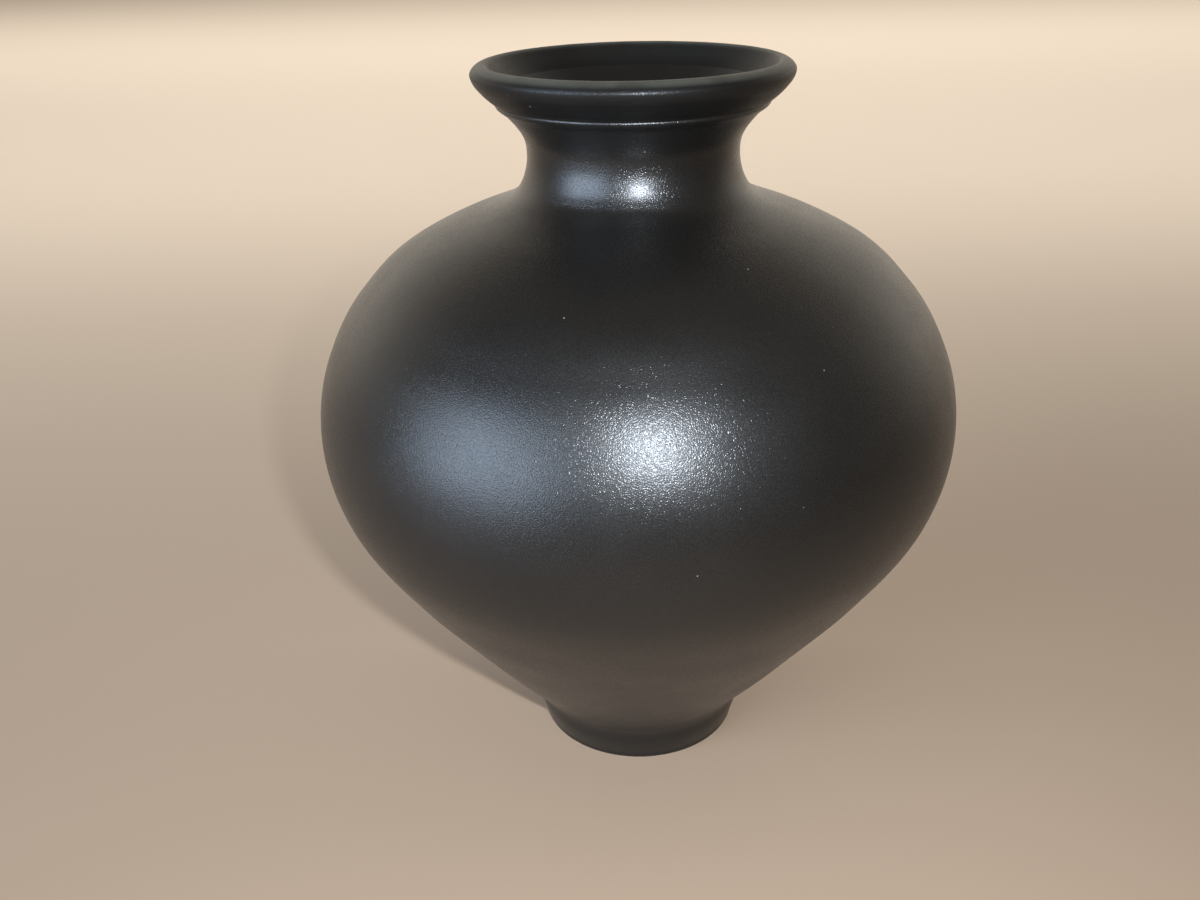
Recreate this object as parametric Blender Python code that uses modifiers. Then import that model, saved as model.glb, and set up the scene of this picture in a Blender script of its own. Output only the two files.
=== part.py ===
"""Black clay pot, built up from separately formed clay members luted together with slip.

Metres, +Z up. The pot stands on z = 0 and its axis is the Z axis. Every member is a turned ring:
an outline at +X that runs down its outer side, spun round Z by a Screw modifier.
"""

import math

import bpy
from mathutils import Vector

STEPS = 48  # facets round the pot
WALL = 0.007  # wall thickness, measured square to the surface
SLIP = 0.001  # slip layer in a joint
GAP = 0.0003  # clearance on each side of a slip layer
PIECE_SHIFT = SLIP / 2 + GAP  # how far each member stays back from the middle of its joint
KEY_DEPTH = 0.002  # how far a joint's V-shaped tongue reaches into its groove

BELLY_HEIGHT = 0.1570  # the widest level

# Outer surface of the walls, as (height, radius). The radius is a smooth curve through these.
BODY = (
    (0.0000, 0.0445),  # foot edge
    (0.0090, 0.0472),
    (0.0170, 0.0488),  # crease above the foot
    (0.0240, 0.0540),
    (0.0420, 0.0690),
    (0.0660, 0.0878),
    (0.0950, 0.1096),
    (0.1260, 0.1278),
    (BELLY_HEIGHT, 0.1336),
    (0.1880, 0.1270),
    (0.2110, 0.1130),
    (0.2280, 0.0944),
    (0.2400, 0.0704),
    (0.2450, 0.0574),
    (0.2480, 0.0509),  # root of the neck
    (0.2510, 0.0469),
    (0.2550, 0.0443),
    (0.2600, 0.0426),
    (0.2660, 0.0419),  # waist of the neck
    (0.2720, 0.0428),
    (0.2790, 0.0474),
    (0.2855, 0.0539),
    (0.2924, 0.0608),  # flare, just under the lip
)
# Small ledge round the collar's top, with a shallow groove over it: only on the outer surface.
LEDGE = (
    (0.2822, 0.0506),
    (0.2832, 0.0521),  # lower corner
    (0.2848, 0.0534),  # top edge
    (0.2854, 0.05335),  # groove
    (0.2865, 0.0549),  # back on the flare
)
OUTER = tuple(sorted(set(BODY[:-2] + LEDGE + BODY[-1:])))

# Heights of the joints on the outer surface.
FOOT_JOINT = 0.0190
LOWER_JOINT = 0.1100
UPPER_JOINT = 0.1900
NECK_JOINT = 0.2465
RIM_JOINT = LEDGE[-1][0]

# Base slab, let into the foot above a shallow recess.
RECESS = 0.002
SLAB_TOP = 0.011
BASE_JOINT_RADIUS = 0.037

# Lip: thickened, domed on top, with a narrow round edge outside that curves away into the flare.
LIP_CREST = Vector((0.0575, 0.3000))
LIP_EDGE = Vector((0.0623, 0.2962))
LIP_INNER_WIDTH = 0.0032  # of the dome, from its crest inwards
LIP_POWER = 1.7  # of the dome's and the underside's curves: 2 gives plain ellipses
LIP_START = math.radians(126)  # where the lip leaves the inner wall: 90 is the crest, 0 the edge
LIP_END = math.radians(-90)  # where it runs into the flare
LIP_FACETS = 12

# Coil pressed into the inside corner between slab and foot.
FILLET_WIDTH = 0.0080
FILLET_HEIGHT = 0.0076
FILLET_TIP = 0.0009  # thickness left at its two edges
# Points of its hollow side, as shares of the way to the wall edge and to the slab edge.
FILLET_HOLLOW = ((0.20, 0.52), (0.42, 0.26))

# Rings of points on a member's surface between its two joints.
FOOT_RINGS = 3
LOWER_RINGS = 6
BELLY_RINGS_BELOW = 3
BELLY_RINGS_ABOVE = 2
SHOULDER_RINGS = 7
COLLAR_RINGS = 8
FLARE_RINGS = 2

BLACK = (0.012, 0.012, 0.013)
CLAY_BLACK = (0.030, 0.028, 0.027)
SHARP_ANGLE = math.radians(35)  # edges that turn more than this are shaded sharp
SATIN = 0.34
DULL_SATIN = 0.45
MATT = 0.78


def clear_scene():
    for obj in list(bpy.data.objects):
        bpy.data.objects.remove(obj, do_unlink=True)


def slopes(stations):
    """Slope of the radius at each station, from the chords on its two sides."""
    chords = [
        (r1 - r0, h1 - h0) for (h0, r0), (h1, r1) in zip(stations, stations[1:])
    ]
    inner = [
        (rise0 / run0 * run1 + rise1 / run1 * run0) / (run0 + run1)
        for (rise0, run0), (rise1, run1) in zip(chords, chords[1:])
    ]
    first = 1.5 * chords[0][0] / chords[0][1] - 0.5 * inner[0]
    last = 1.5 * chords[-1][0] / chords[-1][1] - 0.5 * inner[-1]
    return [first, *inner, last]


def curve_through(stations):
    """A function that gives the radius at a height, smooth through the stations."""
    slope = slopes(stations)

    def radius(height):
        spans = [i for i, (h, _) in enumerate(stations[:-1]) if h <= height]
        i = spans[-1]
        (h0, r0), (h1, r1) = stations[i], stations[i + 1]
        run = h1 - h0
        t = (height - h0) / run
        start = (2 * t**3 - 3 * t**2 + 1) * r0 + (t**3 - 2 * t**2 + t) * run * slope[i]
        end = (3 * t**2 - 2 * t**3) * r1 + (t**3 - t**2) * run * slope[i + 1]
        return start + end

    return radius


body_radius = curve_through(BODY)
outer_radius = curve_through(OUTER)


def outer_point(height):
    return Vector((outer_radius(height), height))


def tangent(height):
    """Direction up along the wall."""
    nudge = 0.0001
    rise = body_radius(height + nudge) - body_radius(height - nudge)
    return Vector((rise, 2 * nudge)).normalized()


def outward(height):
    along = tangent(height)
    return Vector((along.y, -along.x))


def inner_point(height):
    return Vector((body_radius(height), height)) - WALL * outward(height)


def heights_between(low, high, count):
    """Heights strictly between two joints, evenly spaced along the surface."""
    fine = [low + (high - low) * i / 200 for i in range(201)]
    run = [0.0]
    for a, b in zip(fine, fine[1:]):
        run.append(run[-1] + (outer_point(b) - outer_point(a)).length)
    wanted = [run[-1] * (i + 1) / (count + 1) for i in range(count)]
    return [next(h for h, s in zip(fine, run) if s >= want) for want in wanted]


def joint_face(height, shift):
    """One face of a wall joint: outer edge, bottom of the V, inner edge, moved along the wall."""
    along = tangent(height)
    outer = outer_point(height) + shift * along
    inner = inner_point(height) + shift * along
    return [outer, (outer + inner) / 2 - KEY_DEPTH * along, inner]


def base_joint_face(shift):
    """One face of the joint round the slab: top edge, point of the V, bottom edge."""
    radius = BASE_JOINT_RADIUS + shift
    return [
        Vector((radius, SLAB_TOP)),
        Vector((radius + KEY_DEPTH, (SLAB_TOP + RECESS) / 2)),
        Vector((radius, RECESS)),
    ]


def wall_profile(low, heights, high):
    """Outline of a wall member between two joints, with rings at these heights."""
    bottom = joint_face(low, PIECE_SHIFT)
    top = joint_face(high, -PIECE_SHIFT)
    outer = [outer_point(h) for h in reversed(heights)]
    inner = [inner_point(h) for h in heights]
    return [top[0], *outer, *bottom, *inner, top[2], top[1]]


def slip_profile(height):
    bottom = joint_face(height, -SLIP / 2)
    top = joint_face(height, SLIP / 2)
    return [top[0], *bottom, top[2], top[1]]


def base_slip_profile():
    outer = base_joint_face(SLIP / 2)
    inner = base_joint_face(-SLIP / 2)
    return [*outer, *reversed(inner)]


def base_slab_profile():
    return [Vector((0, SLAB_TOP)), *base_joint_face(-PIECE_SHIFT), Vector((0, RECESS))]


def foot_profile():
    top = joint_face(FOOT_JOINT, -PIECE_SHIFT)
    side = base_joint_face(PIECE_SHIFT)
    heights = heights_between(0, FOOT_JOINT, FOOT_RINGS)
    outer = [outer_point(h) for h in reversed(heights)]
    ring_inner_edge = Vector((side[0].x, 0))
    return [
        top[0],
        *outer,
        outer_point(0),
        ring_inner_edge,
        *reversed(side),
        top[2],
        top[1],
    ]


def fillet_profile():
    """Corner coil: flat on the slab, flat against the foot, hollow on its free side."""
    corner = base_joint_face(PIECE_SHIFT)[0]
    wall_top = joint_face(FOOT_JOINT, -PIECE_SHIFT)[2]
    up_wall = (wall_top - corner).normalized()
    off_wall = Vector((-up_wall.y, up_wall.x))
    heel = corner + GAP * off_wall + (GAP / up_wall.y) * up_wall
    wall_edge = heel + FILLET_HEIGHT * up_wall
    slab_edge = heel - Vector((FILLET_WIDTH, 0))
    wall_lip = wall_edge + FILLET_TIP * off_wall
    slab_lip = slab_edge + Vector((0, FILLET_TIP))
    hollow = [
        heel + up * (wall_lip - heel) + along * (slab_lip - heel)
        for up, along in FILLET_HOLLOW
    ]
    return [wall_lip, wall_edge, heel, slab_edge, slab_lip, *hollow]


def lip_point(angle):
    """A point on the lip: 90 degrees is its crest, 0 its outer edge, -90 where the flare starts."""
    across, up = math.cos(angle), math.sin(angle)
    if up < 0:
        to_flare = outer_point(BODY[-1][0]) - LIP_EDGE
        return LIP_EDGE + Vector((to_flare.x * (-up) ** LIP_POWER, to_flare.y * -up))
    width = LIP_EDGE.x - LIP_CREST.x if across > 0 else -LIP_INNER_WIDTH
    height = LIP_CREST.y - LIP_EDGE.y
    power = 2 / LIP_POWER
    return Vector((LIP_CREST.x + width * abs(across) ** power, LIP_EDGE.y + height * up**power))


def rim_profile():
    turn = (LIP_END - LIP_START) / LIP_FACETS
    lip = [lip_point(LIP_START + turn * i) for i in range(LIP_FACETS + 1)]
    flare = heights_between(RIM_JOINT, BODY[-1][0], FLARE_RINGS)
    outer = [outer_point(h) for h in reversed(flare)]
    return [*lip, *outer, *joint_face(RIM_JOINT, PIECE_SHIFT)]


def material(name, colour, roughness):
    made = bpy.data.materials.new(name)
    made.use_nodes = True
    shader = made.node_tree.nodes["Principled BSDF"]
    shader.inputs["Base Color"].default_value = (*colour, 1)
    shader.inputs["Roughness"].default_value = roughness
    shader.inputs["Metallic"].default_value = 0
    made.diffuse_color = (*colour, 1)
    return made


def turned(name, profile, colour, roughness, collection, closed=True):
    """A ring, or a disc where the profile starts and ends on the axis."""
    count = len(profile)
    edges = [(i, i + 1) for i in range(count - 1)]
    if closed:
        edges.append((count - 1, 0))
    outline = bpy.data.meshes.new(name + "_outline")
    outline.from_pydata([(p.x, 0, p.y) for p in profile], edges, [])
    outline.materials.append(material(name, colour, roughness))
    obj = bpy.data.objects.new(name, outline)
    collection.objects.link(obj)
    screw = obj.modifiers.new("turn", "SCREW")
    screw.axis = "Z"
    screw.angle = math.tau
    screw.steps = STEPS
    screw.render_steps = STEPS
    screw.use_merge_vertices = True
    screw.merge_threshold = 0.00001
    graph = bpy.context.evaluated_depsgraph_get()
    solid = bpy.data.meshes.new_from_object(obj.evaluated_get(graph))
    solid.name = name
    solid.shade_smooth()
    solid.set_sharp_from_angle(angle=SHARP_ANGLE)
    obj.modifiers.clear()
    obj.data = solid
    bpy.data.meshes.remove(outline)


def build_walls(collection):
    lower = heights_between(FOOT_JOINT, LOWER_JOINT, LOWER_RINGS)
    belly = [
        *heights_between(LOWER_JOINT, BELLY_HEIGHT, BELLY_RINGS_BELOW),
        BELLY_HEIGHT,
        *heights_between(BELLY_HEIGHT, UPPER_JOINT, BELLY_RINGS_ABOVE),
    ]
    shoulder = heights_between(UPPER_JOINT, NECK_JOINT, SHOULDER_RINGS)
    ledge = [height for height, _ in LEDGE[:-1]]
    collar = [*heights_between(NECK_JOINT, ledge[0], COLLAR_RINGS), *ledge]
    members = (
        ("lower_wall", FOOT_JOINT, lower, LOWER_JOINT),
        ("belly_wall", LOWER_JOINT, belly, UPPER_JOINT),
        ("shoulder_wall", UPPER_JOINT, shoulder, NECK_JOINT),
        ("neck_collar", NECK_JOINT, collar, RIM_JOINT),
    )
    for name, low, heights, high in members:
        turned(name, wall_profile(low, heights, high), BLACK, SATIN, collection)
    turned("foot_wall", foot_profile(), BLACK, SATIN, collection)
    turned("rim_coil", rim_profile(), BLACK, DULL_SATIN, collection)


def build_base(collection):
    slab = base_slab_profile()
    turned("base_slab", slab, CLAY_BLACK, MATT, collection, closed=False)
    turned("base_slip", base_slip_profile(), CLAY_BLACK, MATT, collection)
    turned("base_fillet_coil", fillet_profile(), CLAY_BLACK, MATT, collection)


def build_slip_layers(collection):
    joints = (
        ("foot_slip", FOOT_JOINT),
        ("lower_belly_slip", LOWER_JOINT),
        ("upper_belly_slip", UPPER_JOINT),
        ("neck_slip", NECK_JOINT),
        ("rim_slip", RIM_JOINT),
    )
    for name, height in joints:
        turned(name, slip_profile(height), CLAY_BLACK, MATT, collection)


def main():
    clear_scene()
    collection = bpy.data.collections.new("black_clay_pot")
    bpy.context.scene.collection.children.link(collection)
    build_base(collection)
    build_walls(collection)
    build_slip_layers(collection)


main()
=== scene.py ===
"""Black clay pot, the looks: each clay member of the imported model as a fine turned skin.

Metres, +Z up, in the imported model's frame. The members stay separate pieces. Their surfaces meet
edge to edge along every joint, as luted and smoothed clay does, and the slip lies inside the wall.
"""

import math

import bpy
from mathutils import Matrix, Vector


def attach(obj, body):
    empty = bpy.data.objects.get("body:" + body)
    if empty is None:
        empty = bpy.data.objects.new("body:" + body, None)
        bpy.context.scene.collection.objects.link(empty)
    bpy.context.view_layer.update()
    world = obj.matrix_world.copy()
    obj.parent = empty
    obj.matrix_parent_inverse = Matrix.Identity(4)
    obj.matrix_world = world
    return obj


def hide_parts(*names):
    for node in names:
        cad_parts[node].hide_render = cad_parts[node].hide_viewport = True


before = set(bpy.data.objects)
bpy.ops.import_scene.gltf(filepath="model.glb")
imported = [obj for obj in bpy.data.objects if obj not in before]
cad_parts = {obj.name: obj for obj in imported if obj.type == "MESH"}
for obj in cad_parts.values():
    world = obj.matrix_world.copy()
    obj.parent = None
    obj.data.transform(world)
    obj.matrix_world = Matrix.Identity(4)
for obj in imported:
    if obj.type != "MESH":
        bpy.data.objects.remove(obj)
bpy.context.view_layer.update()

# ---------------------------------------------------------------- sizes
AROUND = 192  # facets round the pot
RING_STEP = 0.0016  # distance between rings along a plain wall
FINE_STEP = 0.0005  # the same at the ledge, the crease and the neck
SEAM_GUARD = 0.00004  # a last thin ring beside each joint keeps the shading square to the curve

WALL = 0.007
SLIP = 0.001
GAP = 0.0003
PIECE_SHIFT = SLIP / 2 + GAP
KEY_DEPTH = 0.002
LUTED = 0.001  # depth to which the members are smoothed together over a joint

BELLY_HEIGHT = 0.1570
BELLY_RADIUS = 0.1336
# Outer surface of the walls, as (height, radius).
BODY = (
    (0.0000, 0.0445),
    (0.0090, 0.0472),
    (0.0170, 0.0488),
    (0.0240, 0.0540),
    (0.0420, 0.0690),
    (0.0660, 0.0878),
    (0.0950, 0.1096),
    (0.1260, 0.1278),
    (BELLY_HEIGHT, BELLY_RADIUS),
    (0.1880, 0.1270),
    (0.2110, 0.1130),
    (0.2280, 0.0944),
    (0.2400, 0.0704),
    (0.2450, 0.0574),
    (0.2480, 0.0509),
    (0.2510, 0.0469),
    (0.2550, 0.0443),
    (0.2600, 0.0426),
    (0.2660, 0.0419),
    (0.2720, 0.0428),
    (0.2790, 0.0474),
    (0.2855, 0.0539),
    (0.2924, 0.0608),
)
# Ledge round the collar's top with a shallow groove over it, on the outer surface only.
LEDGE = (
    (0.2822, 0.0506),
    (0.2832, 0.0521),
    (0.2848, 0.0534),
    (0.2854, 0.05335),
    (0.2865, 0.0549),
)
OUTER = tuple(sorted(set(BODY[:-2] + LEDGE + BODY[-1:])))

FOOT_JOINT = 0.0190
LOWER_JOINT = 0.1100
UPPER_JOINT = 0.1900
NECK_JOINT = 0.2465
RIM_JOINT = LEDGE[-1][0]
CREASE = (0.0120, 0.0260)  # heights between which the foot's crease needs fine rings
NECK = (0.2380, 0.2930)
LEDGE_STEP = 0.00012  # distance between rings over the ledge

RECESS = 0.002
SLAB_TOP = 0.011
BASE_JOINT_RADIUS = 0.037
FOOT_EDGE = 0.0007  # radius of the foot ring's two worn edges
EDGE_FACETS = 6
FLOOR_DISH = 0.0004  # how far the slab's middle is pressed down inside
FLOOR_RINGS = 24

LIP_CREST = Vector((0.0575, 0.3000))
LIP_EDGE = Vector((0.0623, 0.2962))
LIP_INNER_WIDTH = 0.0032  # of the lip's domed top, from its crest inwards
LIP_POWER = 1.7  # of the curves beside its outer edge: 2 gives plain ellipses
LIP_START = math.radians(126)
LIP_END = math.radians(-90)
LIP_FACETS = 72
INNER_LIP_FACETS = 8

FILLET_WIDTH = 0.0080
FILLET_HEIGHT = 0.0076
FILLET_TIP = 0.0009
FILLET_FACETS = 10
FILLET_HOLLOW = 0.35  # how far its face stands off the corner: 2 gives a flat face

FINGER_RIDGE = 0.00018  # height of the ridges that fingers leave inside, below the neck
RIDGE_PITCH = 0.0062
RIDGE_TOP = 0.2300
RIDGE_FADE = 0.0150
NUDGE = 0.0001  # step over which the wall's slope is measured

SHARP = math.radians(40)


# ---------------------------------------------------------------- outline
def slopes(stations):
    """Slope of the radius at each station, from the chords on its two sides."""
    chords = [(r1 - r0, h1 - h0) for (h0, r0), (h1, r1) in zip(stations, stations[1:])]
    inner = [
        (rise0 / run0 * run1 + rise1 / run1 * run0) / (run0 + run1)
        for (rise0, run0), (rise1, run1) in zip(chords, chords[1:])
    ]
    first = 1.5 * chords[0][0] / chords[0][1] - 0.5 * inner[0]
    last = 1.5 * chords[-1][0] / chords[-1][1] - 0.5 * inner[-1]
    return [first, *inner, last]


def curve_through(stations):
    """A function that gives the radius at a height, smooth through the stations."""
    slope = slopes(stations)

    def radius(height):
        i = max(0, sum(1 for h, _ in stations[:-1] if h <= height) - 1)
        (h0, r0), (h1, r1) = stations[i], stations[i + 1]
        run = h1 - h0
        t = (height - h0) / run
        start = (2 * t**3 - 3 * t**2 + 1) * r0 + (t**3 - 2 * t**2 + t) * run * slope[i]
        end = (3 * t**2 - 2 * t**3) * r1 + (t**3 - t**2) * run * slope[i + 1]
        return start + end

    return radius


body_radius = curve_through(BODY)
outer_radius = curve_through(OUTER)


def outer_point(height):
    return Vector((min(outer_radius(height), BELLY_RADIUS), height))


def tangent(height):
    """Direction up along the wall."""
    rise = body_radius(height + NUDGE) - body_radius(height - NUDGE)
    return Vector((rise, 2 * NUDGE)).normalized()


def ridge(height):
    """How far the finger ridges stand out of the inner surface at this height."""
    fade = min(1, max(0, (RIDGE_TOP - height) / RIDGE_FADE))
    wander = 0.8 * math.sin(height / 0.019) + 0.5 * math.sin(height / 0.031)
    return FINGER_RIDGE * fade * math.sin(math.tau * height / RIDGE_PITCH + wander)


def inner_point(height):
    """The point of the inner surface that lies square behind the outer surface at this height."""
    along = tangent(height)
    outward = Vector((along.y, -along.x))
    return Vector((body_radius(height), height)) - (WALL + ridge(height)) * outward


def ring_step(height):
    if LEDGE[0][0] < height < LEDGE[-1][0]:
        return LEDGE_STEP
    fine = CREASE[0] < height < CREASE[1] or NECK[0] < height < NECK[1]
    return FINE_STEP if fine else RING_STEP


def ring_heights(low, high):
    """Heights between two joints, close together where the wall turns sharply."""
    heights = [low, low + SEAM_GUARD]
    while heights[-1] < high:
        height = heights[-1]
        heights.append(height + ring_step(height) * tangent(height).y)
    spaced = [h for h in heights if h < high - 2 * SEAM_GUARD]
    return [*spaced, high - SEAM_GUARD, high]


def skin_heights(low, high):
    """Ring heights, with one ring at the widest level so that the pot keeps its full width."""
    heights = ring_heights(low, high)
    if low < BELLY_HEIGHT < high:
        heights = sorted({*heights, BELLY_HEIGHT})
    return heights


# ---------------------------------------------------------------- joints
def joint_point(height, share, shift):
    """A point on a wall joint, at a share of the way in, moved along the wall."""
    along = tangent(height)
    outer, inner = outer_point(height), inner_point(height)
    v_depth = KEY_DEPTH * (1 - abs(2 * share - 1))
    return outer.lerp(inner, share) + (shift - v_depth) * along


def luted_joint(height, shift):
    """A member's joint face from outside to inside: closed at both skins, open round the slip."""
    skin = LUTED / WALL
    return [
        joint_point(height, 0, 0),
        joint_point(height, skin, 0),
        joint_point(height, skin, shift),
        joint_point(height, 0.5, shift),
        joint_point(height, 1 - skin, shift),
        joint_point(height, 1 - skin, 0),
        joint_point(height, 1, 0),
    ]


def slip_outline(height):
    """Section of the slip ring in a wall joint."""
    skin = (LUTED + GAP) / WALL
    shares = (skin, 0.5, 1 - skin)
    top = [joint_point(height, share, SLIP / 2) for share in shares]
    bottom = [joint_point(height, share, -SLIP / 2) for share in shares]
    return [*bottom, *reversed(top)]


def base_joint_point(share, shift):
    """A point on the joint round the slab, at a share of the way down."""
    v_depth = KEY_DEPTH * (1 - abs(2 * share - 1))
    return Vector((BASE_JOINT_RADIUS + v_depth + shift, SLAB_TOP + share * (RECESS - SLAB_TOP)))


def luted_base_joint(shift):
    """The joint face round the slab from above to below, made as on a wall joint."""
    skin = LUTED / (SLAB_TOP - RECESS)
    return [
        base_joint_point(0, 0),
        base_joint_point(skin, 0),
        base_joint_point(skin, shift),
        base_joint_point(0.5, shift),
        base_joint_point(1 - skin, shift),
        base_joint_point(1 - skin, 0),
        base_joint_point(1, 0),
    ]


def base_slip_outline():
    """Section of the slip ring round the slab."""
    skin = (LUTED + GAP) / (SLAB_TOP - RECESS)
    shares = (skin, 0.5, 1 - skin)
    outer = [base_joint_point(share, SLIP / 2) for share in shares]
    inner = [base_joint_point(share, -SLIP / 2) for share in shares]
    return [*outer, *reversed(inner)]


# ---------------------------------------------------------------- meshes
def arc(centre, radius, start, end, count):
    """Points along a round edge, angles in degrees."""
    angles = [math.radians(start + (end - start) * i / count) for i in range(count + 1)]
    return [centre + radius * Vector((math.cos(a), math.sin(a))) for a in angles]


def turned(name, runs, materials, closed=True):
    """Spins an outline round Z.

    Each run is (points, material number) and ends where the next starts.
    """
    points, band_material = [], []
    for run, number in runs:
        points += run[:-1]
        band_material += [number] * (len(run) - 1)
    if not closed:
        points.append(runs[-1][0][-1])
    verts, rows = [], []
    for p in points:
        count = 1 if p.x < 1e-9 else AROUND
        rows.append([len(verts) + i % count for i in range(AROUND)])
        for i in range(count):
            angle = math.tau * i / AROUND
            verts.append((p.x * math.cos(angle), p.x * math.sin(angle), p.y))
    faces, numbers = [], []
    following = [*rows[1:], rows[0]] if closed else rows[1:]
    for upper, lower, number in zip(rows, following, band_material):
        for i in range(AROUND):
            j = (i + 1) % AROUND
            corners = [upper[i], lower[i], lower[j], upper[j]]
            faces.append(list(dict.fromkeys(corners)))
            numbers.append(number)
    mesh = bpy.data.meshes.new(name)
    mesh.from_pydata(verts, [], faces)
    mesh.polygons.foreach_set("material_index", numbers)
    for material in materials:
        mesh.materials.append(material)
    mesh.shade_smooth()
    mesh.set_sharp_from_angle(angle=SHARP)
    mesh.validate()
    piece = bpy.data.objects.new(name, mesh)
    bpy.context.scene.collection.objects.link(piece)
    return piece


def placed(piece, node):
    """Puts a piece under the root body and hides the imported part of the node it stands for."""
    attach(piece, "root")
    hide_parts(node)


# ---------------------------------------------------------------- material nodes
class Nodes:
    """A material's node tree, with its coordinates and short calls for the nodes used here."""

    def __init__(self, name):
        self.material = bpy.data.materials.new(name)
        self.material.use_nodes = True
        self.tree = self.material.node_tree
        self.shader = self.tree.nodes["Principled BSDF"]
        self.place = self.tree.nodes.new("ShaderNodeTexCoord").outputs["Object"]

    def link(self, source, target):
        self.tree.links.new(source, target)

    def noise(self, scale, detail=2.0, roughness=0.5, stretch=None):
        node = self.tree.nodes.new("ShaderNodeTexNoise")
        node.inputs["Scale"].default_value = scale
        node.inputs["Detail"].default_value = detail
        node.inputs["Roughness"].default_value = roughness
        self.link(self.stretched(stretch), node.inputs["Vector"])
        return node.outputs["Fac"]

    def stretched(self, stretch):
        if stretch is None:
            return self.place
        node = self.tree.nodes.new("ShaderNodeMapping")
        node.inputs["Scale"].default_value = stretch
        self.link(self.place, node.inputs["Vector"])
        return node.outputs["Vector"]

    def ramp(self, value, low, high, low_to=0.0, high_to=1.0):
        """Takes low..high to low_to..high_to and holds it there outside."""
        node = self.tree.nodes.new("ShaderNodeMapRange")
        node.interpolation_type = "SMOOTHSTEP"
        self.link(value, node.inputs["Value"])
        for name, number in (
            ("From Min", low),
            ("From Max", high),
            ("To Min", low_to),
            ("To Max", high_to),
        ):
            node.inputs[name].default_value = number
        return node.outputs["Result"]

    def math(self, operation, a, b):
        node = self.tree.nodes.new("ShaderNodeMath")
        node.operation = operation
        for socket, value in zip(node.inputs, (a, b)):
            if isinstance(value, (int, float)):
                socket.default_value = value
            else:
                self.link(value, socket)
        return node.outputs["Value"]

    def mix(self, share, a, b):
        """Blend of two colours, each a tuple or a node's output."""
        node = self.tree.nodes.new("ShaderNodeMix")
        node.data_type = "RGBA"
        self.link(share, node.inputs["Factor"])
        for name, value in (("A", a), ("B", b)):
            socket = [s for s in node.inputs if s.name == name and s.type == "RGBA"][0]
            if isinstance(value, tuple):
                socket.default_value = (*value, 1)
            else:
                self.link(value, socket)
        return [s for s in node.outputs if s.type == "RGBA"][0]

    def bump(self, height, depth, under=None):
        node = self.tree.nodes.new("ShaderNodeBump")
        node.inputs["Strength"].default_value = 1
        node.inputs["Distance"].default_value = depth
        self.link(height, node.inputs["Height"])
        if under is not None:
            self.link(under, node.inputs["Normal"])
        return node.outputs["Normal"]

    def height(self):
        split = self.tree.nodes.new("ShaderNodeSeparateXYZ")
        self.link(self.place, split.inputs["Vector"])
        return split.outputs["Z"]

    def specks(self, spacing, radius, share):
        """Mask of small round specks, in a share of the cells of a loose grid."""
        node = self.tree.nodes.new("ShaderNodeTexVoronoi")
        node.inputs["Scale"].default_value = 1 / spacing
        self.link(self.place, node.inputs["Vector"])
        near = self.ramp(node.outputs["Distance"], radius / spacing, 0.5 * radius / spacing)
        split = self.tree.nodes.new("ShaderNodeSeparateColor")
        self.link(node.outputs["Color"], split.inputs["Color"])
        chosen = self.math("LESS_THAN", split.outputs["Red"], share)
        return self.math("MULTIPLY", near, chosen)

    def dimples(self, across):
        """Height of close-packed round dimples."""
        node = self.tree.nodes.new("ShaderNodeTexVoronoi")
        node.inputs["Scale"].default_value = 1 / across
        self.link(self.place, node.inputs["Vector"])
        return self.math("POWER", node.outputs["Distance"], 2)

    def faces_up(self, low, high):
        """0 where the surface's slope from level is steep, 1 where it faces up."""
        geometry = self.tree.nodes.new("ShaderNodeNewGeometry")
        split = self.tree.nodes.new("ShaderNodeSeparateXYZ")
        self.link(geometry.outputs["Normal"], split.inputs["Vector"])
        return self.ramp(split.outputs["Z"], low, high)


BLACK_CLAY = ((0.0046, 0.0042, 0.0037), (0.0058, 0.0050, 0.0042))
SATIN = (0.42, 0.47)  # roughness, lowest and highest
MOTTLES_PER_METRE = 14
SHEENS_PER_METRE = 45
NECK_RUBBED = 0.09  # how much smoother the neck is
NECK_RUBBED_FROM = (0.236, 0.252)  # heights over which that comes in
NECK_RUBBED_TO = (0.280, 0.272)  # and over which it goes again
# pale of the lip's top: partly wear, partly a painted reflection of the bright backdrop on the
# upward-facing top
WORN_AND_SHEEN_CLAY = (0.060, 0.059, 0.047)
WEAR_AND_SHEEN_FROM_TO = (0.2920, 0.2965)  # heights over which the wear and the painted sheen on the lip come in
WORN_MATT = 0.04
WEAR_AND_SHEEN_PER_METRE = 90
GRAINS_PER_METRE = 2100
GRAIN_MATT = 0.07  # change of roughness from the grain's crests to its hollows, each way
GRAIN_DEPTH = 0.00013  # in the thin wax film, whose facets glint
SOFT_DEPTH = 0.000015  # the same grain as the clay under the film shows it
DIMPLE = 0.0005  # across
DIMPLE_DEPTH = 0.00004
FILM_ROUGHNESS = 0.24
FILM_ON_BODY = 0.40
FILM_ON_LIP = 0.13
IOR_OF_BODY = 1.36
IOR_OF_LIP = 1.28
DUST = (0.30, 0.29, 0.27)
DUST_SPACING = 0.004
DUST_RADIUS = 0.00033
DUST_SHARE = 0.035  # of the places where a speck could lie
DUST_COVER = 0.6
DUST_MATT = 0.4
BARE_CLAY = ((0.020, 0.019, 0.018), (0.038, 0.035, 0.032))
BARE_MATT = (0.62, 0.82)
PATCHES_PER_METRE = 30
GRIT_PER_METRE = 1500
GRIT_DEPTH = 0.00016
WIPE_LINES_PER_METRE = 260
WIPE_STRETCH = (0.02, 0.02, 1)  # draws the lines out round the pot
WIPE_DEPTH = 0.0005
SLIP_GREY = (0.030, 0.028, 0.027)
SLIP_MATT = 0.8


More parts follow.
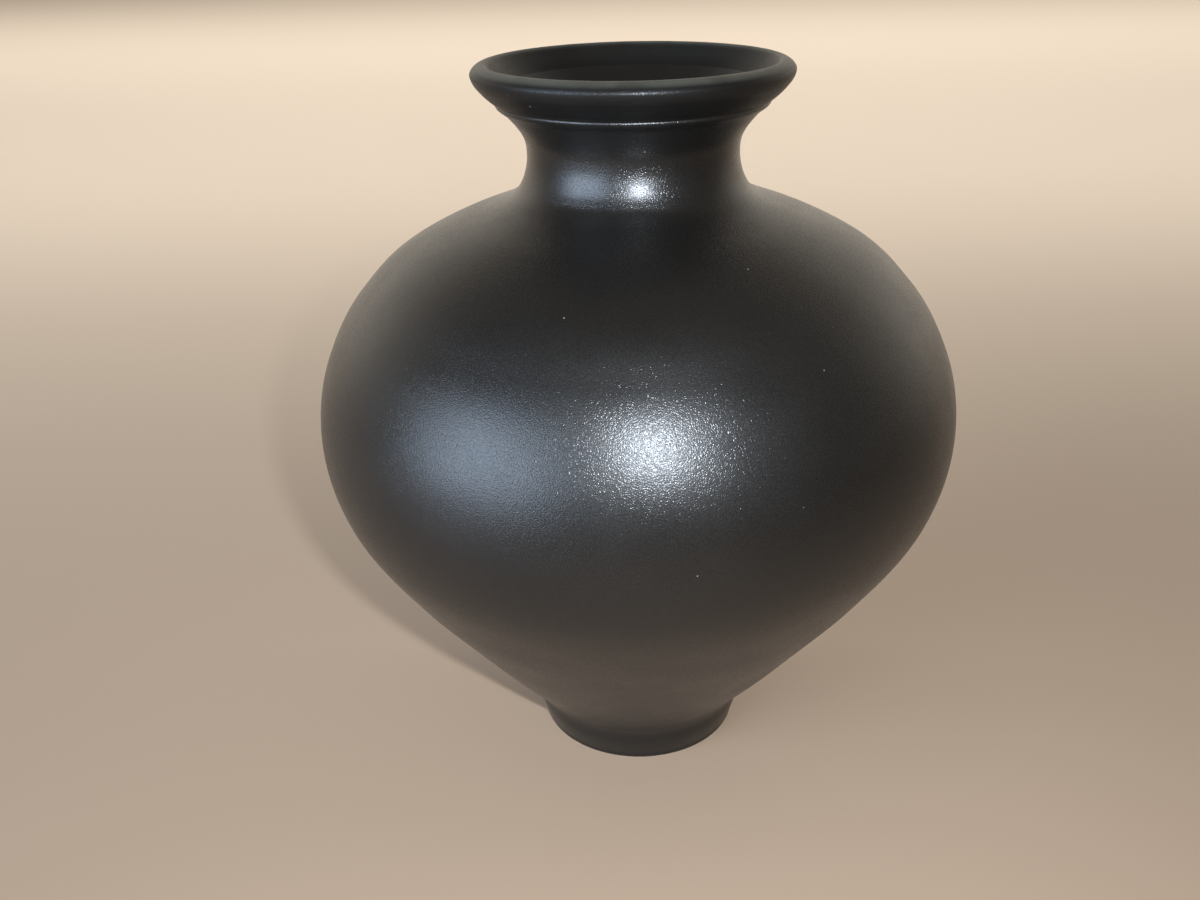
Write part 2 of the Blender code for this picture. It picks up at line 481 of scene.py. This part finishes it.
def wear_and_sheen_on_lip(n, clay, satin):
    """Colour and roughness of the lip: its top is worn matt, and its upward-facing top is painted
    pale, partly as wear and partly as a painted reflection of the bright backdrop.
    """
    # the upward-facing top is painted pale: wear plus a painted reflection of the bright backdrop
    top = n.math("MULTIPLY", n.faces_up(0.55, 0.97), n.ramp(n.height(), *WEAR_AND_SHEEN_FROM_TO))
    wear_and_sheen_mask = n.math("MULTIPLY", top, n.ramp(n.noise(WEAR_AND_SHEEN_PER_METRE, 3), 0.25, 0.6, 0.6, 1))
    matt = n.ramp(n.height(), *WEAR_AND_SHEEN_FROM_TO, 0, WORN_MATT)
    return n.mix(wear_and_sheen_mask, clay, WORN_AND_SHEEN_CLAY), n.math("ADD", satin, matt)


def skin(name, film, clay_ior, lip_wear_and_sheen=False):
    """Satin black skin with the fine orange peel of a fired and waxed surface, and a little dust."""
    n = Nodes(name)
    clay = n.mix(n.ramp(n.noise(MOTTLES_PER_METRE, 3), 0.35, 0.65), *BLACK_CLAY)
    sheen = n.ramp(n.noise(SHEENS_PER_METRE, 2), 0.3, 0.7, *SATIN)
    neck = n.math(
        "MULTIPLY", n.ramp(n.height(), *NECK_RUBBED_FROM), n.ramp(n.height(), *NECK_RUBBED_TO)
    )
    satin = n.math("SUBTRACT", sheen, n.math("MULTIPLY", neck, NECK_RUBBED))
    # the lip's top gets wear and a painted reflection of the backdrop
    if lip_wear_and_sheen:
        clay, satin = wear_and_sheen_on_lip(n, clay, satin)
    dust = n.specks(DUST_SPACING, DUST_RADIUS, DUST_SHARE)
    dusty = n.math("ADD", satin, n.math("MULTIPLY", dust, DUST_MATT))
    grain = n.noise(GRAINS_PER_METRE, 0)
    rough = n.math("ADD", dusty, n.ramp(grain, 0.25, 0.75, -GRAIN_MATT, GRAIN_MATT))
    n.link(n.mix(n.math("MULTIPLY", dust, DUST_COVER), clay, DUST), n.shader.inputs["Base Color"])
    n.link(rough, n.shader.inputs["Roughness"])
    n.link(n.bump(grain, SOFT_DEPTH), n.shader.inputs["Normal"])
    waves = n.bump(grain, GRAIN_DEPTH)
    n.link(n.bump(n.dimples(DIMPLE), DIMPLE_DEPTH, waves), n.shader.inputs["Coat Normal"])
    n.shader.inputs["IOR"].default_value = clay_ior
    n.shader.inputs["Coat Weight"].default_value = film
    n.shader.inputs["Coat Roughness"].default_value = FILM_ROUGHNESS
    return n.material


def bare_clay(name, ring_marks):
    """Unburnished reduced clay: matt charcoal, sandy, with the drag lines of wiping round the pot."""
    n = Nodes(name)
    patch = n.ramp(n.noise(PATCHES_PER_METRE, 4), 0.3, 0.7)
    n.link(n.mix(patch, *BARE_CLAY), n.shader.inputs["Base Color"])
    n.link(n.ramp(n.noise(160, 3), 0.3, 0.7, *BARE_MATT), n.shader.inputs["Roughness"])
    grit = n.bump(n.noise(GRIT_PER_METRE, 3, 0.6), GRIT_DEPTH)
    lines = n.noise(WIPE_LINES_PER_METRE, stretch=WIPE_STRETCH) if ring_marks else n.noise(220)
    n.link(n.bump(lines, WIPE_DEPTH, grit), n.shader.inputs["Normal"])
    return n.material


def plain(name, colour, roughness):
    n = Nodes(name)
    n.shader.inputs["Base Color"].default_value = (*colour, 1)
    n.shader.inputs["Roughness"].default_value = roughness
    return n.material


# ---------------------------------------------------------------- the pot
def make_walls(black, inside):
    members = (
        ("lower_wall", FOOT_JOINT, LOWER_JOINT),
        ("belly_wall", LOWER_JOINT, UPPER_JOINT),
        ("shoulder_wall", UPPER_JOINT, NECK_JOINT),
    )
    for node, low, high in members:
        heights = skin_heights(low, high)
        bottom = luted_joint(low, PIECE_SHIFT)
        top = luted_joint(high, -PIECE_SHIFT)
        runs = [
            ([outer_point(h) for h in reversed(heights)], 0),
            (bottom, 1),
            ([inner_point(h) for h in heights], 1),
            ([*reversed(top)], 1),
        ]
        placed(turned(node + "_skin", runs, [black, inside]), node)


def make_collar(black):
    """The neck is skinned all round, because its inside is seen through the mouth."""
    heights = skin_heights(NECK_JOINT, RIM_JOINT)
    bottom = luted_joint(NECK_JOINT, PIECE_SHIFT)
    top = luted_joint(RIM_JOINT, -PIECE_SHIFT)
    runs = [
        ([outer_point(h) for h in reversed(heights)], 0),
        (bottom, 0),
        ([inner_point(h) for h in heights], 0),
        ([*reversed(top)], 0),
    ]
    placed(turned("neck_collar_skin", runs, [black]), "neck_collar")


def lip_point(angle):
    """A point on the lip: 90 degrees is its crest, 0 its outer edge, -90 where the flare starts."""
    across, up = math.cos(angle), math.sin(angle)
    if up < 0:
        to_flare = outer_point(BODY[-1][0]) - LIP_EDGE
        return LIP_EDGE + Vector((to_flare.x * (-up) ** LIP_POWER, to_flare.y * -up))
    width = LIP_EDGE.x - LIP_CREST.x if across > 0 else -LIP_INNER_WIDTH
    height = LIP_CREST.y - LIP_EDGE.y
    power = 2 / LIP_POWER
    return Vector((LIP_CREST.x + width * abs(across) ** power, LIP_EDGE.y + height * up**power))


def make_rim(lip_skin):
    turn = (LIP_END - LIP_START) / LIP_FACETS
    lip = [lip_point(LIP_START + turn * i) for i in range(LIP_FACETS + 1)]
    outer = [outer_point(h) for h in ring_heights(RIM_JOINT, BODY[-1][0])[:-2]]
    bottom = luted_joint(RIM_JOINT, PIECE_SHIFT)
    wall_top, along = inner_point(RIM_JOINT), tangent(RIM_JOINT)
    inner = [wall_top.lerp(lip[0], i / INNER_LIP_FACETS) for i in range(INNER_LIP_FACETS)]
    runs = [
        ([*lip, *reversed(outer)], 0),
        (bottom, 0),
        ([wall_top, wall_top + SEAM_GUARD * along, *inner[1:], lip[0]], 0),
    ]
    placed(turned("rim_coil_skin", runs, [lip_skin]), "rim_coil")


def make_foot(black, inside, underside):
    heights = ring_heights(0, FOOT_JOINT)
    top = luted_joint(FOOT_JOINT, -PIECE_SHIFT)
    side = luted_base_joint(PIECE_SHIFT)
    wall_low = [outer_point(h) for h in reversed(heights) if h > FOOT_EDGE]
    outer_centre = Vector((wall_low[-1].x - FOOT_EDGE, FOOT_EDGE))
    inner_centre = Vector((BASE_JOINT_RADIUS + FOOT_EDGE, FOOT_EDGE))
    outer_edge = arc(outer_centre, FOOT_EDGE, -10, -90, EDGE_FACETS)
    inner_edge = arc(inner_centre, FOOT_EDGE, 270, 180, EDGE_FACETS)
    runs = [
        ([*wall_low, outer_edge[0]], 0),
        ([*outer_edge, *inner_edge, side[-1]], 2),
        ([*reversed(side)], 1),
        ([side[0], top[-1]], 1),
        ([*reversed(top)], 1),
    ]
    placed(turned("foot_wall_skin", runs, [black, inside, underside]), "foot_wall")


def make_base(inside, underside, slip):
    side = luted_base_joint(-PIECE_SHIFT)
    radii = [side[0].x * i / FLOOR_RINGS for i in range(FLOOR_RINGS)]
    dished = [
        Vector((r, SLAB_TOP - FLOOR_DISH * (1 - (r / side[0].x) ** 2) ** 2)) for r in radii
    ]
    below = [Vector((r, RECESS)) for r in reversed(radii)]
    runs = [
        ([*dished, side[0]], 0),
        (side, 0),
        ([side[-1], *below], 1),
    ]
    slab = turned("base_slab_floor", runs, [inside, underside], closed=False)
    placed(slab, "base_slab")
    ring = base_slip_outline()
    placed(turned("base_slip_ring", [([*ring, ring[0]], 0)], [slip]), "base_slip")


def make_corner_coil(inside):
    """The coil pressed into the corner inside, smeared out thin on the slab and up the foot."""
    corner = base_joint_point(0, 0) + Vector((PIECE_SHIFT, 0))
    wall_top = joint_point(FOOT_JOINT, 1, -PIECE_SHIFT)
    up_wall = (wall_top - corner).normalized()
    off_wall = Vector((-up_wall.y, up_wall.x))
    heel = corner + GAP * off_wall + (GAP / up_wall.y) * up_wall
    wall_lip = heel + FILLET_HEIGHT * up_wall + FILLET_TIP * off_wall
    slab_lip = heel + Vector((-FILLET_WIDTH, FILLET_TIP))
    hollow = []
    for i in range(FILLET_FACETS + 1):
        t = i / FILLET_FACETS
        off_corner = FILLET_HOLLOW * t * (1 - t)
        up, along = (1 - t) ** 2 + off_corner, t**2 + off_corner
        hollow.append(heel + up * (wall_lip - heel) + along * (slab_lip - heel))
    outline = [
        *hollow,
        heel - Vector((FILLET_WIDTH, 0)),
        heel,
        heel + FILLET_HEIGHT * up_wall,
        hollow[0],
    ]
    coil = turned("base_corner_coil", [(outline[::-1], 0)], [inside])
    placed(coil, "base_fillet_coil")


def make_slip_rings(slip):
    joints = (
        ("foot_slip", FOOT_JOINT),
        ("lower_belly_slip", LOWER_JOINT),
        ("upper_belly_slip", UPPER_JOINT),
        ("neck_slip", NECK_JOINT),
        ("rim_slip", RIM_JOINT),
    )
    for node, height in joints:
        ring = slip_outline(height)
        piece = turned(node + "_ring", [([*ring, ring[0]], 0)], [slip])
        placed(piece, node)


# ---------------------------------------------------------------- studio
CAMERA_AT = Vector((0, -0.466, 0.358))
LENS = 35.0
LOOKS_DOWN = math.radians(25.6)
LOOKS_LEFT = math.radians(1.97)
ROLLED = math.radians(1.43)
LAMP_RIGHT = 0.045  # of the lens
LAMP_UP = 0.018
POT_MIDDLE = (0, 0, 0.17)
LAMP_COLOUR = (0.82, 0.90, 1)
WINDOW_COLOUR = (0.64, 0.79, 1)
BACKDROP_COLOUR = (0.76, 0.89, 1)
# The large lights, as (name, place, aim, width, height, watts, colour).
BOXES = (
    ("window_box", (-1.12, -0.92, 0.50), POT_MIDDLE, 1.16, 0.78, 33, WINDOW_COLOUR),
    ("near_backdrop_box", (0, 0.85, 1.1), (0, 1.9, 0), 3.6, 0.5, 63, BACKDROP_COLOUR),
    ("far_backdrop_box", (0, 2.4, 2.0), (0, 4.6, 0), 8.0, 0.8, 330, BACKDROP_COLOUR),
)
ROOM_DARK = (0.17, 0.14, 0.11, 1)
ROOM_BRIGHT = (1.1, 0.99, 0.84, 1)
BRIGHT_BELOW = (0.75, 0.30)  # from which to which height of view the room turns bright
BRIGHT_BEHIND = (0.0, 0.6)  # and how far towards the pot's back
FLOOR_COLOUR = (0.365, 0.258, 0.175)
FLOOR_MATT = 0.7
FLOOR_RADIUS = 9


def camera_axes():
    """The camera's right, up and backward directions."""
    level = math.cos(LOOKS_DOWN)
    across, away = math.sin(LOOKS_LEFT) * level, math.cos(LOOKS_LEFT) * level
    forward = Vector((-across, away, -math.sin(LOOKS_DOWN)))
    right = Vector((math.cos(LOOKS_LEFT), math.sin(LOOKS_LEFT), 0))
    up = right.cross(forward)
    c, s = math.cos(ROLLED), math.sin(ROLLED)
    return c * right - s * up, s * right + c * up, -forward


def make_camera():
    camera = bpy.data.objects.new("camera", bpy.data.cameras.new("camera"))
    camera.data.lens = LENS
    camera.data.sensor_width = 36
    camera.data.clip_start = 0.01
    turn = Matrix(camera_axes()).transposed().to_4x4()
    camera.matrix_world = Matrix.Translation(CAMERA_AT) @ turn
    bpy.context.scene.collection.objects.link(camera)
    bpy.context.scene.camera = camera


def area_light(name, place, aim, width, height, watts, colour):
    light = bpy.data.lights.new(name, "AREA")
    light.shape = "RECTANGLE"
    light.size = width
    light.size_y = height
    light.energy = watts
    light.color = colour
    lamp = bpy.data.objects.new(name, light)
    lamp.location = place
    lamp.rotation_euler = (Vector(aim) - Vector(place)).to_track_quat("-Z", "Y").to_euler()
    bpy.context.scene.collection.objects.link(lamp)


def make_lights():
    right, up, _ = camera_axes()
    beside_lens = CAMERA_AT + LAMP_RIGHT * right + LAMP_UP * up
    area_light("small_lamp", beside_lens, POT_MIDDLE, 0.022, 0.012, 4.1, LAMP_COLOUR)
    for box in BOXES:
        area_light(*box)


def make_room():
    """Soft light from all round, brighter low down behind the pot."""
    world = bpy.data.worlds.new("studio")
    world.use_nodes = True
    tree = world.node_tree
    direction = tree.nodes.new("ShaderNodeTexCoord")
    split = tree.nodes.new("ShaderNodeSeparateXYZ")
    tree.links.new(direction.outputs["Generated"], split.inputs["Vector"])
    both = tree.nodes.new("ShaderNodeMath")
    both.operation = "MULTIPLY"
    for socket, axis, (dark, bright) in zip(both.inputs, "ZY", (BRIGHT_BELOW, BRIGHT_BEHIND)):
        node = tree.nodes.new("ShaderNodeMapRange")
        node.interpolation_type = "SMOOTHSTEP"
        node.inputs["From Min"].default_value = dark
        node.inputs["From Max"].default_value = bright
        tree.links.new(split.outputs[axis], node.inputs["Value"])
        tree.links.new(node.outputs["Result"], socket)
    tones = tree.nodes.new("ShaderNodeValToRGB")
    tones.color_ramp.elements[0].color = ROOM_DARK
    tones.color_ramp.elements[1].color = ROOM_BRIGHT
    tree.links.new(both.outputs["Value"], tones.inputs["Fac"])
    tree.links.new(tones.outputs["Color"], tree.nodes["Background"].inputs["Color"])
    bpy.context.scene.world = world
    bpy.context.scene.view_settings.view_transform = "Standard"


def make_floor():
    bpy.ops.mesh.primitive_circle_add(vertices=96, radius=FLOOR_RADIUS, fill_type="NGON")
    ground = bpy.context.object
    ground.name = "studio_floor"
    ground.data.materials.append(plain("pale_floor", FLOOR_COLOUR, FLOOR_MATT))


def main():
    make_camera()
    black = skin("black_skin", FILM_ON_BODY, IOR_OF_BODY)
    lip_skin = skin("lip_skin", FILM_ON_LIP, IOR_OF_LIP, lip_wear_and_sheen=True)
    inside = bare_clay("inside_clay", ring_marks=True)
    underside = bare_clay("underside_clay", ring_marks=False)
    slip = plain("slip_layer", SLIP_GREY, SLIP_MATT)
    make_walls(black, inside)
    make_collar(black)
    make_rim(lip_skin)
    make_foot(black, inside, underside)
    make_base(inside, underside, slip)
    make_corner_coil(inside)
    make_slip_rings(slip)
    make_lights()
    make_room()
    make_floor()


main()
